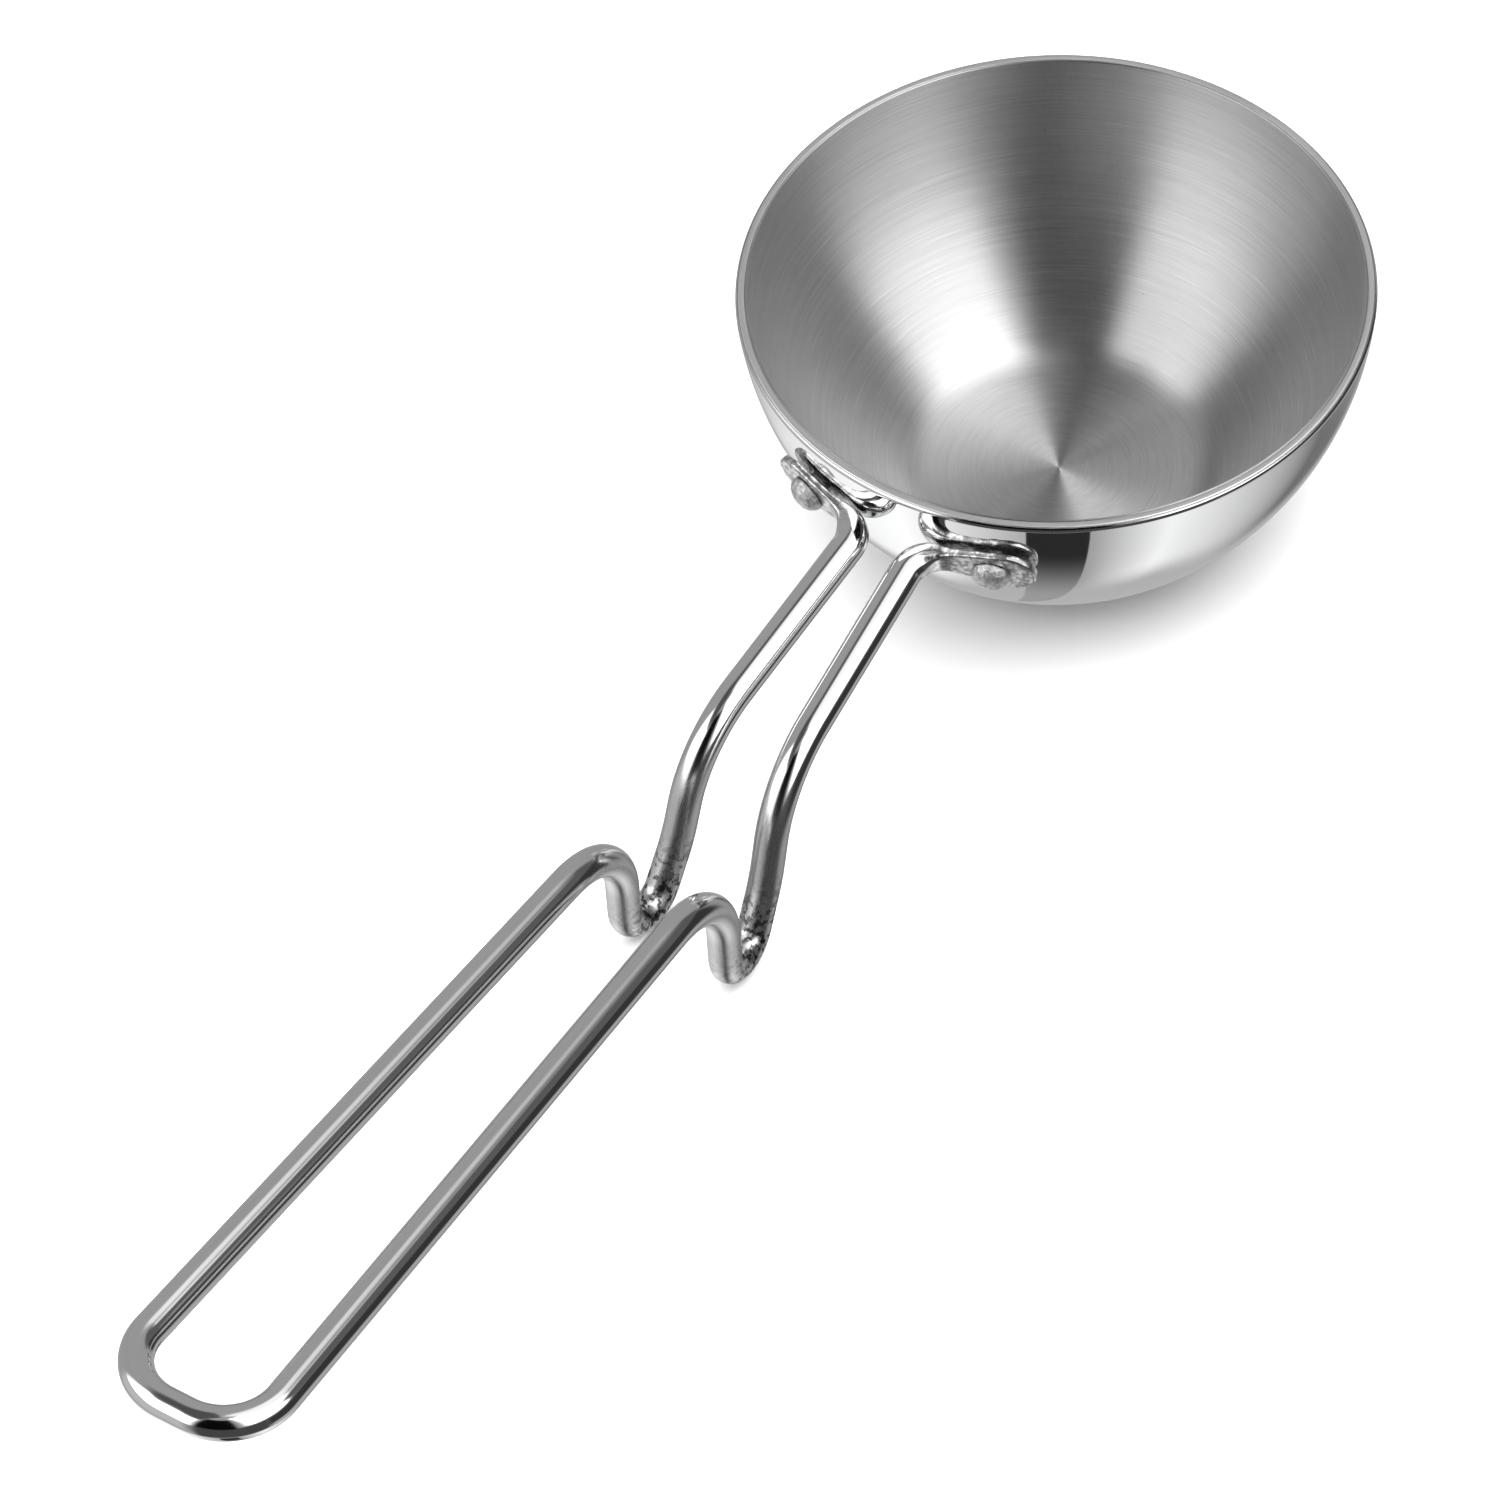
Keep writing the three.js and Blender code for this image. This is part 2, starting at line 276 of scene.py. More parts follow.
def spinning_tree():
    """Spins a profile drawn in the XZ plane about Z."""
    tree = bpy.data.node_groups.new("spin a profile", "GeometryNodeTree")
    add_socket(tree, "Geometry", "NodeSocketGeometry")
    add_socket(tree, "Sides", "NodeSocketInt", 64)
    add_socket(tree, "Material", "NodeSocketMaterial")
    add_dent_sockets(tree)
    given = node(tree, "NodeGroupInput")
    columns = calculate(tree, "ADD", given.outputs["Sides"], 1)
    grid, row, column = rows_and_columns(tree, given.outputs["Geometry"], columns)
    profile = from_guide(tree, given.outputs["Geometry"], row, "FLOAT_VECTOR")
    full_turns = calculate(tree, "MULTIPLY", column, 2 * math.pi)
    angle = calculate(tree, "DIVIDE", full_turns, given.outputs["Sides"])
    turn = node(tree, "ShaderNodeVectorRotate", rotation_type="Z_AXIS")
    tree.links.new(profile, turn.inputs["Vector"])
    tree.links.new(angle, turn.inputs["Angle"])
    place = node(tree, "GeometryNodeSetPosition")
    tree.links.new(grid, place.inputs["Geometry"])
    tree.links.new(turn.outputs[0], place.inputs["Position"])
    forged = from_guide(tree, given.outputs["Geometry"], row, "FLOAT", "forged")
    marked = keep_on_points(tree, place.outputs[0], "forged", forged)
    finish_tree(tree, marked, given.outputs["Material"], given.outputs)
    return tree


def run_tree(name, guide, tree, **values):
    """Runs a tree on a guide mesh, and returns the result as a plain object with its faces outwards."""
    maker = bpy.data.objects.new(name + "_guide", guide)
    bpy.context.collection.objects.link(maker)
    modifier = maker.modifiers.new("make", "NODES")
    modifier.node_group = tree
    sockets = {item.name: item.identifier for item in tree.interface.items_tree if item.in_out == "INPUT"}
    for label, value in values.items():
        modifier[sockets[label.replace("_", " ")]] = value
    bpy.context.view_layer.update()
    depsgraph = bpy.context.evaluated_depsgraph_get()
    mesh = bpy.data.meshes.new_from_object(maker.evaluated_get(depsgraph), depsgraph=depsgraph)
    mesh.name = name
    bpy.data.objects.remove(maker)
    piece = bpy.data.objects.new(name, mesh)
    bpy.context.collection.objects.link(piece)
    tidy_faces(mesh)
    return piece


def tidy_faces(mesh):
    shell = bmesh.new()
    shell.from_mesh(mesh)
    bmesh.ops.recalc_face_normals(shell, faces=shell.faces)
    if shell.calc_volume(signed=True) < 0:
        bmesh.ops.reverse_faces(shell, faces=shell.faces)
    shell.to_mesh(mesh)
    shell.free()
    mesh.update()


def guide_mesh(name, points):
    mesh = bpy.data.meshes.new(name)
    mesh.from_pydata([Vector(point) * MM for point in points], [], [])
    return mesh


spin = spinning_tree()


def bowl_layer(name, profile, material):
    guide = guide_mesh(name + "_profile", [(radius, 0, height) for radius, height in profile])
    return run_tree(name, guide, spin, Sides=BOWL_SIDES, Material=material)


def shader_group(name, inputs, outputs):
    """An empty shader node group. Returns it with its input and output nodes."""
    tree = bpy.data.node_groups.new(name, "ShaderNodeTree")
    for label, value in inputs:
        add_socket(tree, label, "NodeSocketFloat", value)
    for label in outputs:
        add_socket(tree, label, "NodeSocketFloat", way="OUTPUT")
    return tree, node(tree, "NodeGroupInput").outputs, node(tree, "NodeGroupOutput").inputs


def place_group(tree, group, **values):
    """Puts a node group in a material, with its own values."""
    placed = node(tree, "ShaderNodeGroup", node_tree=group)
    for label, value in values.items():
        placed.inputs[label.replace("_", " ")].default_value = value
    return placed.outputs


def noise_around_axis(tree, radius, height, cosine, sine, fineness, arcs, detail):
    """Noise drawn out along circles about Z: fine across them, and changing slowly round them."""
    spot = node(tree, "ShaderNodeCombineXYZ")
    tree.links.new(calculate(tree, "MULTIPLY", radius, fineness), spot.inputs["X"])
    tree.links.new(calculate(tree, "MULTIPLY", cosine, arcs), spot.inputs["Y"])
    tree.links.new(calculate(tree, "MULTIPLY", sine, arcs), spot.inputs["Z"])
    noise = node(tree, "ShaderNodeTexNoise", noise_dimensions="4D")
    noise.inputs["Scale"].default_value = 1
    noise.inputs["Detail"].default_value = detail
    noise.inputs["Roughness"].default_value = 0.6
    tree.links.new(spot.outputs[0], noise.inputs["Vector"])
    tree.links.new(calculate(tree, "MULTIPLY", height, fineness), noise.inputs["W"])
    return noise.outputs["Fac"]


def smooth_ramp(tree, value, start, end, low=0.0, high=1.0):
    """A number that goes smoothly from low to high as a value goes from start to end."""
    ramp = node(tree, "ShaderNodeMapRange", interpolation_type="SMOOTHSTEP")
    tree.links.new(value, ramp.inputs["Value"])
    ramp.inputs["From Min"].default_value = start
    ramp.inputs["From Max"].default_value = end
    ramp.inputs["To Min"].default_value = low
    ramp.inputs["To Max"].default_value = high
    return ramp.outputs["Result"]


def ring_grain_group():
    """Turned or spun-brushed grain: fine circles about the bowl's axis, and sparse longer scratches."""
    tree, given, out = shader_group(
        "ring grain", [("Line width", 0.00012), ("Arcs", 3.0)], ["Lines", "Bands", "Scratches"])
    place = node(tree, "ShaderNodeTexCoord").outputs["Object"]
    parts = node(tree, "ShaderNodeSeparateXYZ")
    tree.links.new(place, parts.inputs[0])
    x, y, z = parts.outputs
    radius = calculate(tree, "SQRT", calculate(
        tree, "ADD", calculate(tree, "MULTIPLY", x, x), calculate(tree, "MULTIPLY", y, y)))
    safe_radius = calculate(tree, "MAXIMUM", radius, 0.00001)
    cosine = calculate(tree, "DIVIDE", x, safe_radius)
    sine = calculate(tree, "DIVIDE", y, safe_radius)
    fineness = calculate(tree, "DIVIDE", 1, given["Line width"])
    around = (radius, z, cosine, sine)
    fine = noise_around_axis(tree, *around, fineness, given["Arcs"], 2)
    coarse_fineness = calculate(tree, "MULTIPLY", fineness, 0.16)
    bands = noise_around_axis(tree, *around, coarse_fineness, given["Arcs"], 3)
    scratch_arcs = calculate(tree, "MULTIPLY", given["Arcs"], 1.3)
    sparse = noise_around_axis(
        tree, *around, calculate(tree, "MULTIPLY", fineness, 0.45), scratch_arcs, 0)
    tree.links.new(fine, out["Lines"])
    tree.links.new(bands, out["Bands"])
    tree.links.new(smooth_ramp(tree, sparse, 0.70, 0.80), out["Scratches"])
    return tree


def wear_group():
    """Handling marks: broad cloudy smudges, and a few tiny pits."""
    tree, given, out = shader_group(
        "handling marks", [("Smudge size", 0.02), ("Pit spacing", 0.006)], ["Smudges", "Pits"])
    place = node(tree, "ShaderNodeTexCoord").outputs["Object"]
    smudges = node(tree, "ShaderNodeTexNoise")
    smudges.inputs["Detail"].default_value = 4
    tree.links.new(place, smudges.inputs["Vector"])
    tree.links.new(calculate(tree, "DIVIDE", 1, given["Smudge size"]), smudges.inputs["Scale"])
    cells = node(tree, "ShaderNodeTexVoronoi")
    tree.links.new(place, cells.inputs["Vector"])
    tree.links.new(calculate(tree, "DIVIDE", 1, given["Pit spacing"]), cells.inputs["Scale"])
    near = calculate(tree, "LESS_THAN", cells.outputs["Distance"], 0.035)
    kind = node(tree, "ShaderNodeSeparateColor")
    tree.links.new(cells.outputs["Color"], kind.inputs[0])
    chosen = calculate(tree, "GREATER_THAN", kind.outputs[0], 0.72)
    tree.links.new(smudges.outputs["Fac"], out["Smudges"])
    tree.links.new(calculate(tree, "MULTIPLY", near, chosen), out["Pits"])
    return tree


ring_grain = ring_grain_group()
handling_marks = wear_group()


def between(tree, mask, low, high):
    """A number that goes from low to high as a mask goes from 0 to 1."""
    ramp = node(tree, "ShaderNodeMapRange")
    ramp.inputs["To Min"].default_value = low
    ramp.inputs["To Max"].default_value = high
    tree.links.new(mask, ramp.inputs["Value"])
    return ramp.outputs["Result"]


def metal(name, anisotropic=0.0):
    """A metal's material, its node tree and its shader, still without colour."""
    material = bpy.data.materials.new(name)
    material.use_nodes = True
    tree = material.node_tree
    shader = tree.nodes["Principled BSDF"]
    shader.inputs["Metallic"].default_value = 1
    shader.inputs["Anisotropic"].default_value = anisotropic
    return material, tree, shader


def add_bump(tree, shader, height, depth):
    """Raises the surface by a mask, to a depth in metres."""
    bump = node(tree, "ShaderNodeBump")
    bump.inputs["Distance"].default_value = depth
    tree.links.new(height, bump.inputs["Height"])
    tree.links.new(bump.outputs[0], shader.inputs["Normal"])


def tint(tree, shader, mask, dark, light):
    """Colours a metal between two greys by a mask."""
    ramp = node(tree, "ShaderNodeMix", data_type="RGBA", clamp_factor=True)
    tree.links.new(mask, ramp.inputs["Factor"])
    ramp.inputs["A"].default_value = dark + (1,)
    ramp.inputs["B"].default_value = light + (1,)
    tree.links.new(ramp.outputs[2], shader.inputs["Base Color"])
    return ramp


def above_height(tree, level, softness):
    """A mask of what lies above a height."""
    parts = node(tree, "ShaderNodeSeparateXYZ")
    tree.links.new(node(tree, "ShaderNodeTexCoord").outputs["Object"], parts.inputs[0])
    return smooth_ramp(tree, parts.outputs["Z"], level - softness, level + softness)


def polished_steel():
    """The skin: a mirror with faint smudges, and cut and linished where it shows at the rim."""
    material, tree, shader = metal("mirror polished steel")
    grain = place_group(tree, ring_grain, Line_width=0.0001, Arcs=2.0)
    marks = place_group(tree, handling_marks, Smudge_size=0.018, Pit_spacing=0.011)
    tint(tree, shader, marks["Smudges"], (0.86, 0.865, 0.87), (0.92, 0.922, 0.925))
    cut = above_height(tree, (RIM_HEIGHT - 0.04) * MM, 0.03 * MM)
    smooth = between(tree, marks["Smudges"], 0.02, 0.055)
    rough = between(tree, grain["Lines"], 0.16, 0.34)
    roughness = node(tree, "ShaderNodeMix", data_type="FLOAT")
    tree.links.new(cut, roughness.inputs["Factor"])
    tree.links.new(smooth, roughness.inputs["A"])
    tree.links.new(rough, roughness.inputs["B"])
    tree.links.new(roughness.outputs["Result"], shader.inputs["Roughness"])
    height = calculate(tree, "MULTIPLY", grain["Lines"], between(tree, cut, 0.01, 1))
    add_bump(tree, shader, height, 0.008 * MM)
    return material


RIVET_ANGLE = math.radians(19)
RIVET_Z = 40.0
SHANK_RADIUS = 2.0
HOLE_RADIUS = SHANK_RADIUS + 0.08
HOLE_DEPTH = 14
rivet_drop = WALL_ARC_Z - RIVET_Z
rivet_wall_radius = WALL_ARC_X + math.sqrt(WALL_ARC_RADIUS ** 2 - rivet_drop ** 2)
wall_tilt = math.asin(rivet_drop / WALL_ARC_RADIUS)


def wall_axes(angle):
    """Outward and upward directions along the wall at an angle round the bowl from -X, on the +Y side."""
    radial = Vector((-math.cos(angle), math.sin(angle), 0))
    outward = radial * math.cos(wall_tilt) - Vector((0, 0, math.sin(wall_tilt)))
    upward = radial * math.sin(wall_tilt) + Vector((0, 0, math.cos(wall_tilt)))
    return radial, outward, upward


def on_wall(side):
    """Where a rivet stands: +Z goes out along the wall's normal. side is +1 on the left, -1 on the right."""
    radial, outward, upward = wall_axes(RIVET_ANGLE)
    foot = (radial * rivet_wall_radius + Vector((0, 0, RIVET_Z))) * MM
    place = Matrix((upward, outward.cross(upward), outward)).transposed().to_4x4()
    place.translation = foot
    return Matrix.Diagonal((1, side, 1, 1)) @ place @ Matrix.Diagonal((1, side, 1, 1))


def drill(piece, cutter):
    """Cuts the rivet holes out of a piece."""
    cut = piece.modifiers.new("holes", "BOOLEAN")
    cut.operation = "DIFFERENCE"
    cut.solver = "EXACT"
    cut.object = cutter
    bpy.context.view_layer.update()
    depsgraph = bpy.context.evaluated_depsgraph_get()
    mesh = bpy.data.meshes.new_from_object(piece.evaluated_get(depsgraph), depsgraph=depsgraph)
    piece.modifiers.clear()
    piece.data = mesh
    tidy_faces(mesh)


holes = bmesh.new()
for side in (1, -1):
    bmesh.ops.create_cone(
        holes, cap_ends=True, segments=48, radius1=HOLE_RADIUS * MM, radius2=HOLE_RADIUS * MM,
        depth=HOLE_DEPTH * MM, matrix=on_wall(side))
hole_mesh = bpy.data.meshes.new("rivet_holes")
holes.to_mesh(hole_mesh)
holes.free()
hole_cutter = bpy.data.objects.new("rivet_holes", hole_mesh)
bpy.context.collection.objects.link(hole_cutter)

bowl_skin = bowl_layer(
    "bowl_skin", layer_profile(0, SKIN_THICKNESS, 0.95, 0.06, reach=0.33, drop=0.2), polished_steel())
drill(bowl_skin, hole_cutter)
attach(bowl_skin, "root")
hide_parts("outer_skin")


# ---- Aluminium core ----
# The middle layer, which spreads the heat. It is bonded to the steel on both sides by the rolling, so it
# is seen only as a soft, turned ring where the rim is cut.

CORE_THICKNESS = 1.25
core_depth = SKIN_THICKNESS + LAYER_GAP


def bare_aluminium():
    """The core: softer and duller, and seen only as a turned ring at the rim."""
    material, tree, shader = metal("cut aluminium")
    grain = place_group(tree, ring_grain, Line_width=0.00016, Arcs=2.0)
    tint(tree, shader, between(tree, grain["Bands"], -0.6, 1.5), (0.72, 0.72, 0.725), (0.97, 0.97, 0.97))
    tree.links.new(between(tree, grain["Lines"], 0.3, 0.5), shader.inputs["Roughness"])
    add_bump(tree, shader, grain["Lines"], 0.02 * MM)
    return material


bowl_core = bowl_layer(
    "bowl_core", layer_profile(core_depth, core_depth + CORE_THICKNESS, 0.3, 0.11), bare_aluminium())
drill(bowl_core, hole_cutter)
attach(bowl_core, "root")
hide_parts("aluminium_core")


# ---- Inner liner ----
# The inside of the bowl: the thinnest layer, stainless steel. It is brushed while the bowl spins on a
# lathe, so its grain runs in fine circles and light fans out from the centre.

LINER_THICKNESS = 0.4
liner_depth = core_depth + CORE_THICKNESS + LAYER_GAP
WALL_THICKNESS = liner_depth + LINER_THICKNESS


def spun_steel():
    """Steel brushed on a lathe: light fans out from the centre, with stray scratches and pits. Its flat
    bottom is painted lighter, a painted reflection that fades out up the corner.
    """
    material, tree, shader = metal("spun brushed steel", anisotropic=0.98)
    grain = place_group(tree, ring_grain, Line_width=0.00008, Arcs=2.6)
    marks = place_group(tree, handling_marks, Smudge_size=0.022, Pit_spacing=0.0065)
    tone = calculate(tree, "ADD", between(tree, grain["Lines"], -0.35, 0.8),
                     between(tree, grain["Bands"], -0.1, 0.6))
    # Painted reflection: the bowl's flat bottom is painted lighter in colour, fading out between 1 mm and 11
    # mm up.
    painted_bright_bottom = between(tree, above_height(tree, 6 * MM, 5 * MM), 0.35, 0.0)
    tone = calculate(tree, "ADD", tone, painted_bright_bottom)
    pitted = calculate(tree, "SUBTRACT", tone, marks["Pits"])
    scratched = calculate(tree, "ADD", pitted, calculate(tree, "MULTIPLY", grain["Scratches"], 0.5))
    tint(tree, shader, scratched, (0.50, 0.50, 0.502), (0.80, 0.80, 0.80))
    roughness = calculate(tree, "ADD", between(tree, grain["Bands"], 0.29, 0.38),
                          between(tree, marks["Smudges"], -0.03, 0.03))
    tree.links.new(roughness, shader.inputs["Roughness"])
    height = calculate(tree, "ADD", grain["Lines"], calculate(tree, "MULTIPLY", grain["Scratches"], 0.6))
    add_bump(tree, shader, height, 0.0022 * MM)
    tangent = node(tree, "ShaderNodeTangent", direction_type="RADIAL", axis="Z")
    tree.links.new(tangent.outputs[0], shader.inputs["Tangent"])
    shader.inputs["Anisotropic Rotation"].default_value = 0.25
    shader.distribution = "GGX"
    return material


bowl_liner = bowl_layer(
    "bowl_liner", layer_profile(liner_depth, WALL_THICKNESS, 0.09, 0.16), spun_steel())
drill(bowl_liner, hole_cutter)
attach(bowl_liner, "root")
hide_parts("inner_liner")


# ---- Handle ----
# One 6 mm stainless rod, bent cold. Each end is forged flat into a lug that follows the bowl's wall,
# and the rod then dips into the saddle, rises into the grip and comes back round the loop.

ROD_RADIUS = 3.0
LUG_GAP = 0.42
LUG_FLATNESS = 0.75
LUG_HALF_THICKNESS = 0.9
LUG_HALF_HEIGHT = 5.5
LUG_TIP = 8.0
TIP_CENTRE = LUG_TIP - LUG_HALF_HEIGHT
FLAT_END = -4.2
NARROW_END = -8.9
LUG_CLIMB = 0.97
SADDLE_X = -131.8
# Where the rod's straight runs would meet, on the left, and the radius of each bend.
BENDS = [
    (Vector((-58.1, 5.67, 40.68)), 6.0),
    (Vector((-109, 8.4, 33.6)), 21),
    (Vector((-116, 9.1, 14.4)), 30),
    (Vector((SADDLE_X, 10.4, -10.2)), 5.9),
    (Vector((SADDLE_X, 10.4, 33.2)), 17.7),
    (Vector((-277.9, 13.3, 50.7)), 11),
]


def lug_place(along, offset):
    """A point along the lug's middle line, a distance from the rivet's axis and an offset from the wall.
    The lug is flatter than the wall, so it stands off it at both ends, and it climbs towards the rod."""
    angle = RIVET_ANGLE + along / (rivet_wall_radius + offset)
    foot, outward, upward = wall_axes(angle)
    standing_off = LUG_FLATNESS * along ** 2 / (2 * rivet_wall_radius)
    climb = LUG_CLIMB * max(0.0, (TIP_CENTRE - along) / (TIP_CENTRE - NARROW_END))
    foot = foot * rivet_wall_radius + Vector((0, 0, RIVET_Z))
    place = foot + upward * climb + outward * (offset + standing_off)
    return place, *wall_axes(angle + (RIVET_ANGLE - angle) * LUG_FLATNESS)[1:]


# Each station is a section of the rod: its place, its outward and upward axes, its half size along each,
# how square it is (2 is an ellipse) and how much of it is forged.
stations = []
SQUARE_LUG = 5
ROUND_ROD = 2

# From the lug's round tip to the flat's end, where the outline narrows towards the rod.
lug_middle = LUG_GAP + LUG_HALF_THICKNESS
TIP_STEPS = 22
TIP_EDGE = 0.6
for i in range(TIP_STEPS + 1):
    angle = math.pi / 2 * i / TIP_STEPS
    from_tip = LUG_HALF_HEIGHT * (1 - math.cos(angle))
    place, outward, upward = lug_place(LUG_TIP - from_tip, lug_middle)
    edge = min(1.0, from_tip / TIP_EDGE)
    half_out = LUG_HALF_THICKNESS * (0.45 + 0.55 * math.sqrt(1 - (1 - edge) ** 2))
    half_up = LUG_HALF_HEIGHT * math.sin(angle)
    stations.append((place, outward, upward, half_out, half_up, SQUARE_LUG, 1))
FLAT_STEPS = 16
NARROWING = (LUG_HALF_HEIGHT - ROD_RADIUS) / (TIP_CENTRE - NARROW_END)
for i in range(1, FLAT_STEPS + 1):
    along = TIP_CENTRE + (FLAT_END - TIP_CENTRE) * i / FLAT_STEPS
    place, outward, upward = lug_place(along, lug_middle)
    half_up = LUG_HALF_HEIGHT - (TIP_CENTRE - along) * NARROWING
    stations.append((place, outward, upward, LUG_HALF_THICKNESS, half_up, SQUARE_LUG, 1))


def carried(direction, along_before, along_after):
    """A section's axis carried along the path without twisting."""
    turn = along_before.rotation_difference(along_after)
    moved = turn @ direction
    return (moved - along_after * moved.dot(along_after)).normalized()


# The rod itself: straight runs and bends, from the left lug to the middle of the loop's end bar.
rod_end, outward, upward = lug_place(FLAT_END, lug_middle)
loop_middle = Vector((BENDS[-1][0].x, 0, BENDS[-1][0].z))
corners = [rod_end] + [corner for corner, radius in BENDS] + [loop_middle]
path = [rod_end]
RUN_STEP = 4.0
RAMP_STEP = 0.5
BEND_STEP = 4
for i, (corner, radius) in enumerate(BENDS):
    incoming = (corner - corners[i]).normalized()
    outgoing = (corners[i + 2] - corner).normalized()
    turn = incoming.angle(outgoing)
    inward = (outgoing - incoming * math.cos(turn)).normalized()
    start = corner - incoming * radius * math.tan(turn / 2)
    centre = start + inward * radius
    run = (start - path[-1]).length
    run_steps = max(1, round(run / (RAMP_STEP if i == 0 else RUN_STEP)))
    last = path[-1]
    path += [last.lerp(start, k / run_steps) for k in range(1, run_steps)]
    bend_steps = max(6, round(math.degrees(turn) / BEND_STEP))
    for k in range(bend_steps + 1):
        angle = turn * k / bend_steps
        path.append(centre + (incoming * math.sin(angle) - inward * math.cos(angle)) * radius)
last = path[-1]
end_steps = 3
path += [last.lerp(loop_middle, k / end_steps) for k in range(1, end_steps + 1)]

# Along the path the flat section swells into the round rod. A ramp's start and end are travelled lengths.
heading = outward.cross(upward)
if heading.dot(path[1] - path[0]) < 0:
    heading = -heading
travelled = 0.0
RAMP_START = 1.8
RAMP_END = 10.0
for i, place in enumerate(path):
    before = path[max(i - 1, 0)]
    travelled += (place - before).length
    after = path[min(i + 1, len(path) - 1)]
    if i == len(path) - 1:
        new_heading = Vector((0, -1, 0))
    else:
        new_heading = (after - before).normalized()
    outward = carried(outward, heading, new_heading)
    upward = carried(upward, heading, new_heading)
    heading = new_heading
    if i == 0:
        continue
    share = min(1.0, max(0.0, (travelled - RAMP_START) / (RAMP_END - RAMP_START)))
    share = share * share * (3 - 2 * share)
    half_out = LUG_HALF_THICKNESS + (ROD_RADIUS - LUG_HALF_THICKNESS) * share
    half_up = max(ROD_RADIUS, LUG_HALF_HEIGHT - (TIP_CENTRE - FLAT_END + travelled) * NARROWING)
    square = SQUARE_LUG - (SQUARE_LUG - ROUND_ROD) * share
    stations.append((place, outward, upward, half_out, half_up, square, 1 - share))


def mirrored(vector):
    """A place or direction on the right that matches one on the left."""
    return Vector((vector.x, -vector.y, vector.z))


for place, outward, upward, half_out, half_up, square, forged in stations[-2::-1]:
    stations.append(
        (mirrored(place), mirrored(outward), mirrored(upward), half_out, half_up, square, forged))


def loft_tree():
    """Lofts rounded sections along stations, each with its own two axes, half sizes and squareness."""
    tree = bpy.data.node_groups.new("loft a rod", "GeometryNodeTree")
    add_socket(tree, "Geometry", "NodeSocketGeometry")
    add_socket(tree, "Sides", "NodeSocketInt", 48)
    add_socket(tree, "Material", "NodeSocketMaterial")
    add_dent_sockets(tree)
    given = node(tree, "NodeGroupInput")
    guide = given.outputs["Geometry"]
    columns = calculate(tree, "ADD", given.outputs["Sides"], 1)
    grid, row, column = rows_and_columns(tree, guide, columns)
    turn = calculate(tree, "DIVIDE", column, given.outputs["Sides"])
    angle = calculate(tree, "MULTIPLY", turn, 2 * math.pi)
    power = calculate(tree, "DIVIDE", 2, from_guide(tree, guide, row, "FLOAT", "square"))
    offsets = []
    for wave, axis, size in (("COSINE", "outward", "half_out"), ("SINE", "upward", "half_up")):
        value = calculate(tree, "DIVIDE", calculate(
            tree, "ROUND", calculate(tree, "MULTIPLY", calculate(tree, wave, angle), 1e5)), 1e5)
        curved = calculate(tree, "POWER", calculate(tree, "ABSOLUTE", value), power)
        signed = calculate(tree, "MULTIPLY", curved, calculate(tree, "SIGN", value))
        reach = calculate(tree, "MULTIPLY", signed, from_guide(tree, guide, row, "FLOAT", size))
        direction = from_guide(tree, guide, row, "FLOAT_VECTOR", axis)
        offsets.append(calculate_vector(tree, "SCALE", direction, scale=reach))
    centre = from_guide(tree, guide, row, "FLOAT_VECTOR")
    surface = calculate_vector(tree, "ADD", centre, calculate_vector(tree, "ADD", *offsets))
    along = from_guide(tree, guide, row, "FLOAT", "along")
    forged = from_guide(tree, guide, row, "FLOAT", "forged")
    capture = node(tree, "GeometryNodeCaptureAttribute", domain="POINT")
    capture.capture_items.new("FLOAT", "along")
    capture.capture_items.new("FLOAT", "turn")
    capture.capture_items.new("FLOAT", "forged")
    tree.links.new(grid, capture.inputs["Geometry"])
    tree.links.new(along, capture.inputs["along"])
    tree.links.new(turn, capture.inputs["turn"])
    tree.links.new(forged, capture.inputs["forged"])
    place = node(tree, "GeometryNodeSetPosition")
    tree.links.new(capture.outputs["Geometry"], place.inputs["Geometry"])
    tree.links.new(surface, place.inputs["Position"])
    pair = node(tree, "ShaderNodeCombineXYZ")
    tree.links.new(capture.outputs["along"], pair.inputs["X"])
    tree.links.new(capture.outputs["turn"], pair.inputs["Y"])
    uv = node(tree, "GeometryNodeStoreNamedAttribute", data_type="FLOAT2", domain="CORNER")
    uv.inputs["Name"].default_value = "UVMap"
    tree.links.new(place.outputs[0], uv.inputs["Geometry"])
    tree.links.new(pair.outputs[0], uv.inputs["Value"])
    marked = keep_on_points(tree, uv.outputs[0], "forged", capture.outputs["forged"])
    finish_tree(tree, marked, given.outputs["Material"], given.outputs)
    return tree


def soft_window(tree, value, low, high, softness):
    """A mask that is 1 between two values, and falls smoothly to 0 over a width about each."""
    rising = smooth_ramp(tree, value, low - softness, low + softness)
    falling = smooth_ramp(tree, value, high - softness, high + softness, 1.0, 0.0)
    return calculate(tree, "MULTIPLY", rising, falling)


def lay_over(tree, colour, mask, grey):
    """Covers a colour with a plain grey, by a mask."""
    cover = node(tree, "ShaderNodeMix", data_type="RGBA")
    tree.links.new(mask, cover.inputs["Factor"])
    tree.links.new(colour, cover.inputs["A"])
    cover.inputs["B"].default_value = (grey, grey, grey, 1)
    return cover.outputs[2]


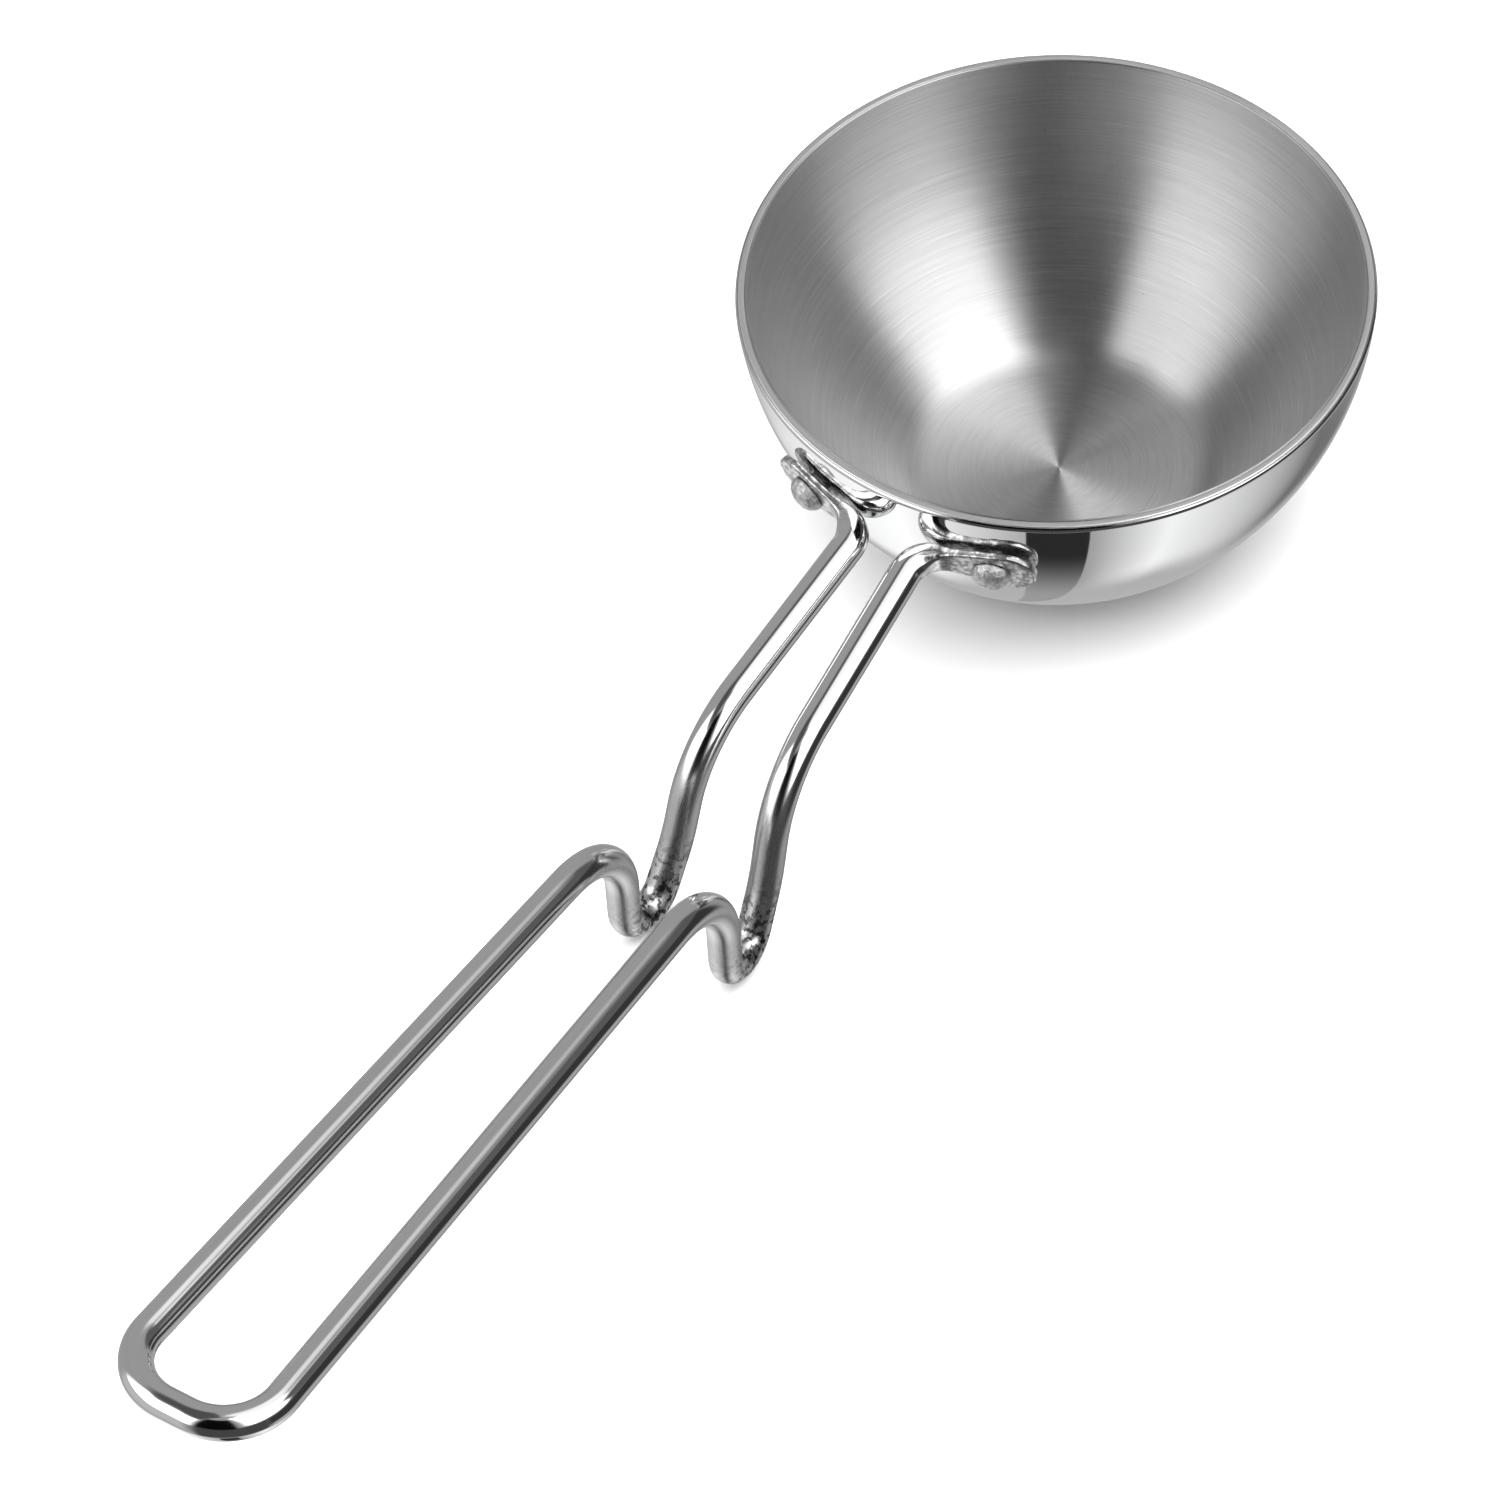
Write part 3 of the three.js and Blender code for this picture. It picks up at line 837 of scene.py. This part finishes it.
def drawn_rod():
    """The rod: drawn and polished lengthwise. It is duller in the saddle, where a polishing belt can't reach,
    with black polishing dirt in the hollow of the bend, and the forged lugs keep a hammered skin."""
    material, tree, shader = metal("polished drawn rod")
    place = node(tree, "ShaderNodeTexCoord").outputs["Object"]
    uv = node(tree, "ShaderNodeUVMap", uv_map="UVMap")
    parts = node(tree, "ShaderNodeSeparateXYZ")
    tree.links.new(uv.outputs[0], parts.inputs[0])
    angle = calculate(tree, "MULTIPLY", parts.outputs["Y"], 2 * math.pi)

    def lengthwise(fineness, length, detail):
        spot = node(tree, "ShaderNodeCombineXYZ")
        tree.links.new(calculate(tree, "DIVIDE", parts.outputs["X"], length), spot.inputs["X"])
        for wave, axis in (("COSINE", "Y"), ("SINE", "Z")):
            tree.links.new(
                calculate(tree, "MULTIPLY", calculate(tree, wave, angle), fineness), spot.inputs[axis])
        lines = node(tree, "ShaderNodeTexNoise")
        lines.inputs["Scale"].default_value = 1
        lines.inputs["Detail"].default_value = detail
        tree.links.new(spot.outputs[0], lines.inputs["Vector"])
        return lines.outputs["Fac"]

    fine = lengthwise(16, 8 * MM, 2)
    broad = lengthwise(3.5, 22 * MM, 3)
    spots = node(tree, "ShaderNodeSeparateXYZ")
    tree.links.new(place, spots.inputs[0])
    saddle = calculate(
        tree, "MULTIPLY",
        soft_window(tree, spots.outputs["X"], -0.150, -0.108, 0.006),
        soft_window(tree, spots.outputs["Z"], -0.01, 0.033, 0.008))
    forged = node(tree, "ShaderNodeAttribute", attribute_name="forged").outputs["Fac"]
    marks = place_group(tree, handling_marks, Smudge_size=0.007, Pit_spacing=0.004)
    mottle = node(tree, "ShaderNodeTexNoise")
    mottle.inputs["Scale"].default_value = 900
    mottle.inputs["Detail"].default_value = 5
    tree.links.new(place, mottle.inputs["Vector"])
    tone = calculate(tree, "ADD", calculate(tree, "MULTIPLY", fine, 0.5),
                     calculate(tree, "MULTIPLY", broad, 0.5))
    clean = tint(tree, shader, tone, (0.80, 0.80, 0.805), (0.96, 0.96, 0.96))
    dull = lay_over(tree, clean.outputs[2], calculate(tree, "MULTIPLY", saddle, 0.75), 0.66)
    hollow = calculate(
        tree, "MULTIPLY",
        soft_window(tree, spots.outputs["X"], -0.133, -0.112, 0.004),
        soft_window(tree, spots.outputs["Z"], -0.01, 0.013, 0.007))
    dirt = calculate(tree, "MULTIPLY", hollow, smooth_ramp(tree, mottle.outputs["Fac"], 0.50, 0.57))
    worn = calculate(
        tree, "MULTIPLY", forged, smooth_ramp(tree, mottle.outputs["Fac"], 0.42, 0.60, 0.12, 0.85))
    scaled = lay_over(tree, dull, worn, 0.30)
    dirty = lay_over(tree, scaled, calculate(tree, "MULTIPLY", dirt, 0.93), 0.03)
    tree.links.new(dirty, shader.inputs["Base Color"])
    polish = between(tree, marks["Smudges"], 0.04, 0.11)
    satin = calculate(tree, "MULTIPLY", saddle, between(tree, fine, 0.12, 0.3))
    forged_rough = calculate(tree, "MULTIPLY", forged, between(tree, mottle.outputs["Fac"], 0.05, 0.42))
    roughness = calculate(tree, "ADD", polish, calculate(tree, "ADD", satin, forged_rough))
    tree.links.new(roughness, shader.inputs["Roughness"])
    lines_height = calculate(tree, "MULTIPLY", fine, between(tree, saddle, 0.12, 1.0))
    forged_height = calculate(tree, "MULTIPLY", forged, calculate(tree, "MULTIPLY", mottle.outputs["Fac"], 9))
    add_bump(tree, shader, calculate(tree, "ADD", lines_height, forged_height), 0.012 * MM)
    return material


ROD_SIDES = 48
rod_guide = guide_mesh("rod_stations", [station[0] for station in stations])
for name, index in (("outward", 1), ("upward", 2)):
    attribute = rod_guide.attributes.new(name, "FLOAT_VECTOR", "POINT")
    attribute.data.foreach_set("vector", [value for station in stations for value in station[index]])
distances = [0.0]
for before, after in zip(stations, stations[1:]):
    distances.append(distances[-1] + (after[0] - before[0]).length)
columns_of_sizes = {
    "half_out": [station[3] * MM for station in stations],
    "half_up": [station[4] * MM for station in stations],
    "square": [station[5] for station in stations],
    "forged": [station[6] for station in stations],
    "along": [distance * MM for distance in distances],
}
for name, values in columns_of_sizes.items():
    attribute = rod_guide.attributes.new(name, "FLOAT", "POINT")
    attribute.data.foreach_set("value", values)
handle = run_tree(
    "handle", rod_guide, loft_tree(), Sides=ROD_SIDES, Material=drawn_rod(),
    Dent_depth=0.35 * MM, Dent_size=1.6 * MM, Seed=3.0)
drill(handle, hole_cutter)
bpy.data.objects.remove(hole_cutter)
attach(handle, "root")
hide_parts("handle_rod")


# ---- Rivets ----
# Two solid steel rivets clamp the lugs to the wall: a low factory head inside, and outside a dome that
# was peened over with a hammer, so it is mottled and slightly out of round.

HEAD_RADIUS = 3.45
HEAD_HEIGHT = 2.55
HEAD_FULLNESS = 0.82
SEAT_GAP = 0.02
HEAD_SEAT = LUG_GAP + 2 * LUG_HALF_THICKNESS + SEAT_GAP
INNER_SEAT = -WALL_THICKNESS - SEAT_GAP
INNER_HEAD_RADIUS = 3.8
INNER_HEAD_HEIGHT = 1.1

# Each point is a radius, a height out from the wall's face, and whether the hammer reached it.
rivet_profile = [(0, INNER_SEAT - INNER_HEAD_HEIGHT, 0), (1.6, INNER_SEAT - INNER_HEAD_HEIGHT, 0)]
INNER_STEPS = 12
for i in range(INNER_STEPS + 1):
    angle = math.pi / 2 * i / INNER_STEPS
    rivet_profile.append((
        1.9 + (INNER_HEAD_RADIUS - 1.9) * math.sin(angle),
        INNER_SEAT - 0.1 - (INNER_HEAD_HEIGHT - 0.1) * math.cos(angle), 0))
rivet_profile += [
    (INNER_HEAD_RADIUS, INNER_SEAT, 0), (SHANK_RADIUS, INNER_SEAT, 0), (SHANK_RADIUS, HEAD_SEAT, 0),
    (HEAD_RADIUS - 0.12, HEAD_SEAT, 0), (HEAD_RADIUS - 0.02, HEAD_SEAT + 0.08, 1)]
HEAD_STEPS = 30
for i in range(HEAD_STEPS + 1):
    angle = math.pi / 2 * i / HEAD_STEPS
    rivet_profile.append((
        HEAD_RADIUS * math.cos(angle) ** HEAD_FULLNESS if i < HEAD_STEPS else 0,
        HEAD_SEAT + 0.25 + (HEAD_HEIGHT - 0.25) * math.sin(angle) ** 1.1, 1))


def hammered_steel():
    """The rivets: dull grey steel, mottled by the hammer, with a few dark pits in the dome."""
    material, tree, shader = metal("hammered rivet steel")
    place = node(tree, "ShaderNodeTexCoord").outputs["Object"]
    mottle = node(tree, "ShaderNodeTexNoise")
    mottle.inputs["Scale"].default_value = 1100
    mottle.inputs["Detail"].default_value = 5
    mottle.inputs["Roughness"].default_value = 0.65
    tree.links.new(place, mottle.inputs["Vector"])
    marks = place_group(tree, handling_marks, Smudge_size=0.002, Pit_spacing=0.0011)
    tone = calculate(tree, "SUBTRACT", between(tree, mottle.outputs["Fac"], -0.6, 1.6), marks["Pits"])
    tint(tree, shader, tone, (0.42, 0.42, 0.418), (0.98, 0.98, 0.975))
    tree.links.new(between(tree, mottle.outputs["Fac"], 0.24, 0.55), shader.inputs["Roughness"])
    add_bump(tree, shader, calculate(tree, "SUBTRACT", mottle.outputs["Fac"], marks["Pits"]), 0.3 * MM)
    return material


hammered = hammered_steel()


def rivet(name, side, seed):
    guide = guide_mesh(name + "_profile", [(radius, 0, height) for radius, height, forged in rivet_profile])
    attribute = guide.attributes.new("forged", "FLOAT", "POINT")
    attribute.data.foreach_set("value", [float(forged) for radius, height, forged in rivet_profile])
    piece = run_tree(
        name, guide, spin, Sides=96, Material=hammered, Dent_depth=0.42 * MM, Dent_size=0.85 * MM, Seed=seed)
    piece.data.transform(on_wall(side))
    piece.data.update()
    return piece


rivet_left = rivet("rivet_dome_left", 1, 1.7)
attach(rivet_left, "root")
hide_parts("rivet_left")
rivet_right = rivet("rivet_dome_right", -1, 5.2)
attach(rivet_right, "root")
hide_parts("rivet_right")


# ---- Floor and studio ----
# A pale floor under an even overhead light, and neither of them is mirrored. What the metal mirrors is a
# studio round the pot: soft-edged bright and dark areas to each side of the camera and above it, a ring of
# bright and grey patches below, and one sharp dark panel.

FLOOR_HALF = 4.0
floor_mesh = bpy.data.meshes.new("floor")
floor_mesh.from_pydata(
    [(-FLOOR_HALF, -FLOOR_HALF, 0), (FLOOR_HALF, -FLOOR_HALF, 0), (FLOOR_HALF, FLOOR_HALF, 0),
     (-FLOOR_HALF, FLOOR_HALF, 0)], [], [(0, 1, 2, 3)])
floor = bpy.data.objects.new("floor", floor_mesh)
floor_paint = bpy.data.materials.new("matt white floor")
floor_paint.use_nodes = True
floor_shader = floor_paint.node_tree.nodes["Principled BSDF"]
floor_shader.inputs["Base Color"].default_value = (0.9, 0.9, 0.9, 1)
floor_shader.inputs["Roughness"].default_value = 1
floor_shader.inputs["Specular IOR Level"].default_value = 0
floor_mesh.materials.append(floor_paint)
bpy.context.collection.objects.link(floor)
floor.visible_glossy = False
floor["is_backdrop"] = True

overhead_data = bpy.data.lights.new("overhead light", "AREA")
overhead_data.shape = "DISK"
overhead_data.size = 2.4
overhead_data.energy = 66
overhead = bpy.data.objects.new("overhead light", overhead_data)
overhead.location = (-0.1, 0, 1.6)
overhead.visible_glossy = False
bpy.context.collection.objects.link(overhead)

world = bpy.data.worlds.new("studio")
bpy.context.scene.world = world
world.use_nodes = True
studio = world.node_tree
backdrop = studio.nodes["Background"]


def linear(shown):
    """The light that shows as a given brightness on screen."""
    return ((shown + 0.055) / 1.055) ** 2.4


direction = node(studio, "ShaderNodeTexCoord").outputs["Generated"]
to_camera = node(studio, "ShaderNodeVectorRotate", rotation_type="Z_AXIS")
to_camera.inputs["Angle"].default_value = -math.atan2(view_back.y, view_back.x)
studio.links.new(direction, to_camera.inputs["Vector"])
parts = node(studio, "ShaderNodeSeparateXYZ")
studio.links.new(to_camera.outputs[0], parts.inputs[0])
DEGREES = 180 / math.pi
bearing = calculate(
    studio, "MULTIPLY", calculate(studio, "ARCTAN2", parts.outputs["Y"], parts.outputs["X"]), DEGREES)
height = calculate(studio, "MULTIPLY", calculate(studio, "ARCSINE", parts.outputs["Z"]), DEGREES)

# Each area of the studio: bearing from the camera and height in degrees, how soft its edges are, and how
# bright it looks in a mirror. Later ones cover earlier ones.
STUDIO_AREAS = [
    # left   right  low  high  soft   soft   shown
    (-200, -40, 60, 100, 6, 6, 0.30),
    (-200, 200, -60, -30, 6, 8, 0.64),
    (-112, -50, -32, 6, 6, 4, 0.72),
    (-40, 50, -48, 16, 8, 5, 0.26),
    (46, 125, -30, 14, 6, 7, 0.20),
    (-108, -43, 9, 56, 7, 2.5, 1.3),
    (104, 166, 50, 82, 8, 5, 0.97),
    (27, 110, 19, 80, 9, 3, 1.42),
    (86, 130, 10, 43, 7, 7, 0.34),
    (-37, 14, 12, 72, 4, 4, 0.03),
]
STEEL_MIRRORS = 0.9
WALLS_SHOWN = 0.59
light = None
for left, right, low, high, side_soft, height_soft, shown in STUDIO_AREAS:
    mask = calculate(
        studio, "MULTIPLY",
        soft_window(studio, bearing, left, right, side_soft),
        soft_window(studio, height, low, high, height_soft))
    blend = node(studio, "ShaderNodeMix", data_type="FLOAT")
    studio.links.new(mask, blend.inputs["Factor"])
    if light is None:
        blend.inputs["A"].default_value = linear(WALLS_SHOWN) / STEEL_MIRRORS
    else:
        studio.links.new(light, blend.inputs["A"])
    blend.inputs["B"].default_value = linear(shown) / STEEL_MIRRORS
    light = blend.outputs["Result"]

# What the bowl's outside mirrors from below, as bearing and brightness: a bright patch to each side of the
# camera with grey between them. The left one fades out slowly, and the right one soon.
BELOW = [(-180, 0.5), (-38, 1.0), (-8, 0.66), (5, 0.62), (22, 0.96), (68, 0.43), (180, 0.5)]
NADIR_SHOWN = 0.68
PANEL_SHOWN = 0.17
PANEL_END_SHOWN = 0.62

# Bearings below are counted from a point shifted backwards, so that the patches run on under the bowl.
POLE_SHIFT = 0.5
forwards = calculate(studio, "ADD", parts.outputs["X"], POLE_SHIFT)
bearing = calculate(
    studio, "MULTIPLY", calculate(studio, "ARCTAN2", parts.outputs["Y"], forwards), DEGREES)
share = calculate(studio, "ADD", calculate(studio, "DIVIDE", bearing, 360), 0.5)
below = node(studio, "ShaderNodeValToRGB")
studio.links.new(share, below.inputs["Fac"])
stops = below.color_ramp.elements
# Adding a stop moves the ones already there, so all are added before any is set.
for _ in BELOW[2:]:
    stops.new(0.5)
for stop, (at, shown) in zip(stops, BELOW):
    stop.position = at / 360 + 0.5
    stop.color = (linear(shown) / STEEL_MIRRORS,) * 3 + (1,)
below_blend = node(studio, "ShaderNodeMix", data_type="RGBA")
studio.links.new(soft_window(studio, height, -100, -50, 5), below_blend.inputs["Factor"])
studio.links.new(light, below_blend.inputs["A"])
studio.links.new(below.outputs["Color"], below_blend.inputs["B"])

# The dark panel lies below on the camera's side, and fades to grey past the point straight down.
across = calculate(studio, "DIVIDE", parts.outputs["Y"], forwards)
panel = calculate(
    studio, "MULTIPLY",
    calculate(
        studio, "MULTIPLY", soft_window(studio, across, -0.158, 0.078, 0.002),
        calculate(studio, "GREATER_THAN", forwards, 0.02)),
    soft_window(studio, height, -100, -52, 4))
past_nadir = calculate(studio, "MULTIPLY", calculate(
    studio, "ARCTAN2", parts.outputs["X"], calculate(studio, "MULTIPLY", parts.outputs["Z"], -1)), DEGREES)
panel_grey = smooth_ramp(studio, past_nadir, -16, 20, linear(PANEL_END_SHOWN), linear(PANEL_SHOWN))

# Past the point straight down, away from the camera, one pale grey covers the patches. The panel is on top.
under_bowl = calculate(
    studio, "MULTIPLY", soft_window(studio, past_nadir, -60, -4, 8),
    soft_window(studio, parts.outputs["Y"], -0.15, 0.25, 0.08))
around_panel = lay_over(studio, below_blend.outputs[2], under_bowl, linear(NADIR_SHOWN) / STEEL_MIRRORS)
panel_blend = node(studio, "ShaderNodeMix", data_type="RGBA")
studio.links.new(panel, panel_blend.inputs["Factor"])
studio.links.new(around_panel, panel_blend.inputs["A"])
studio.links.new(panel_grey, panel_blend.inputs["B"])
studio.links.new(panel_blend.outputs[2], backdrop.inputs["Color"])
bpy.context.scene.view_settings.view_transform = "Standard"

low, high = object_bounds()
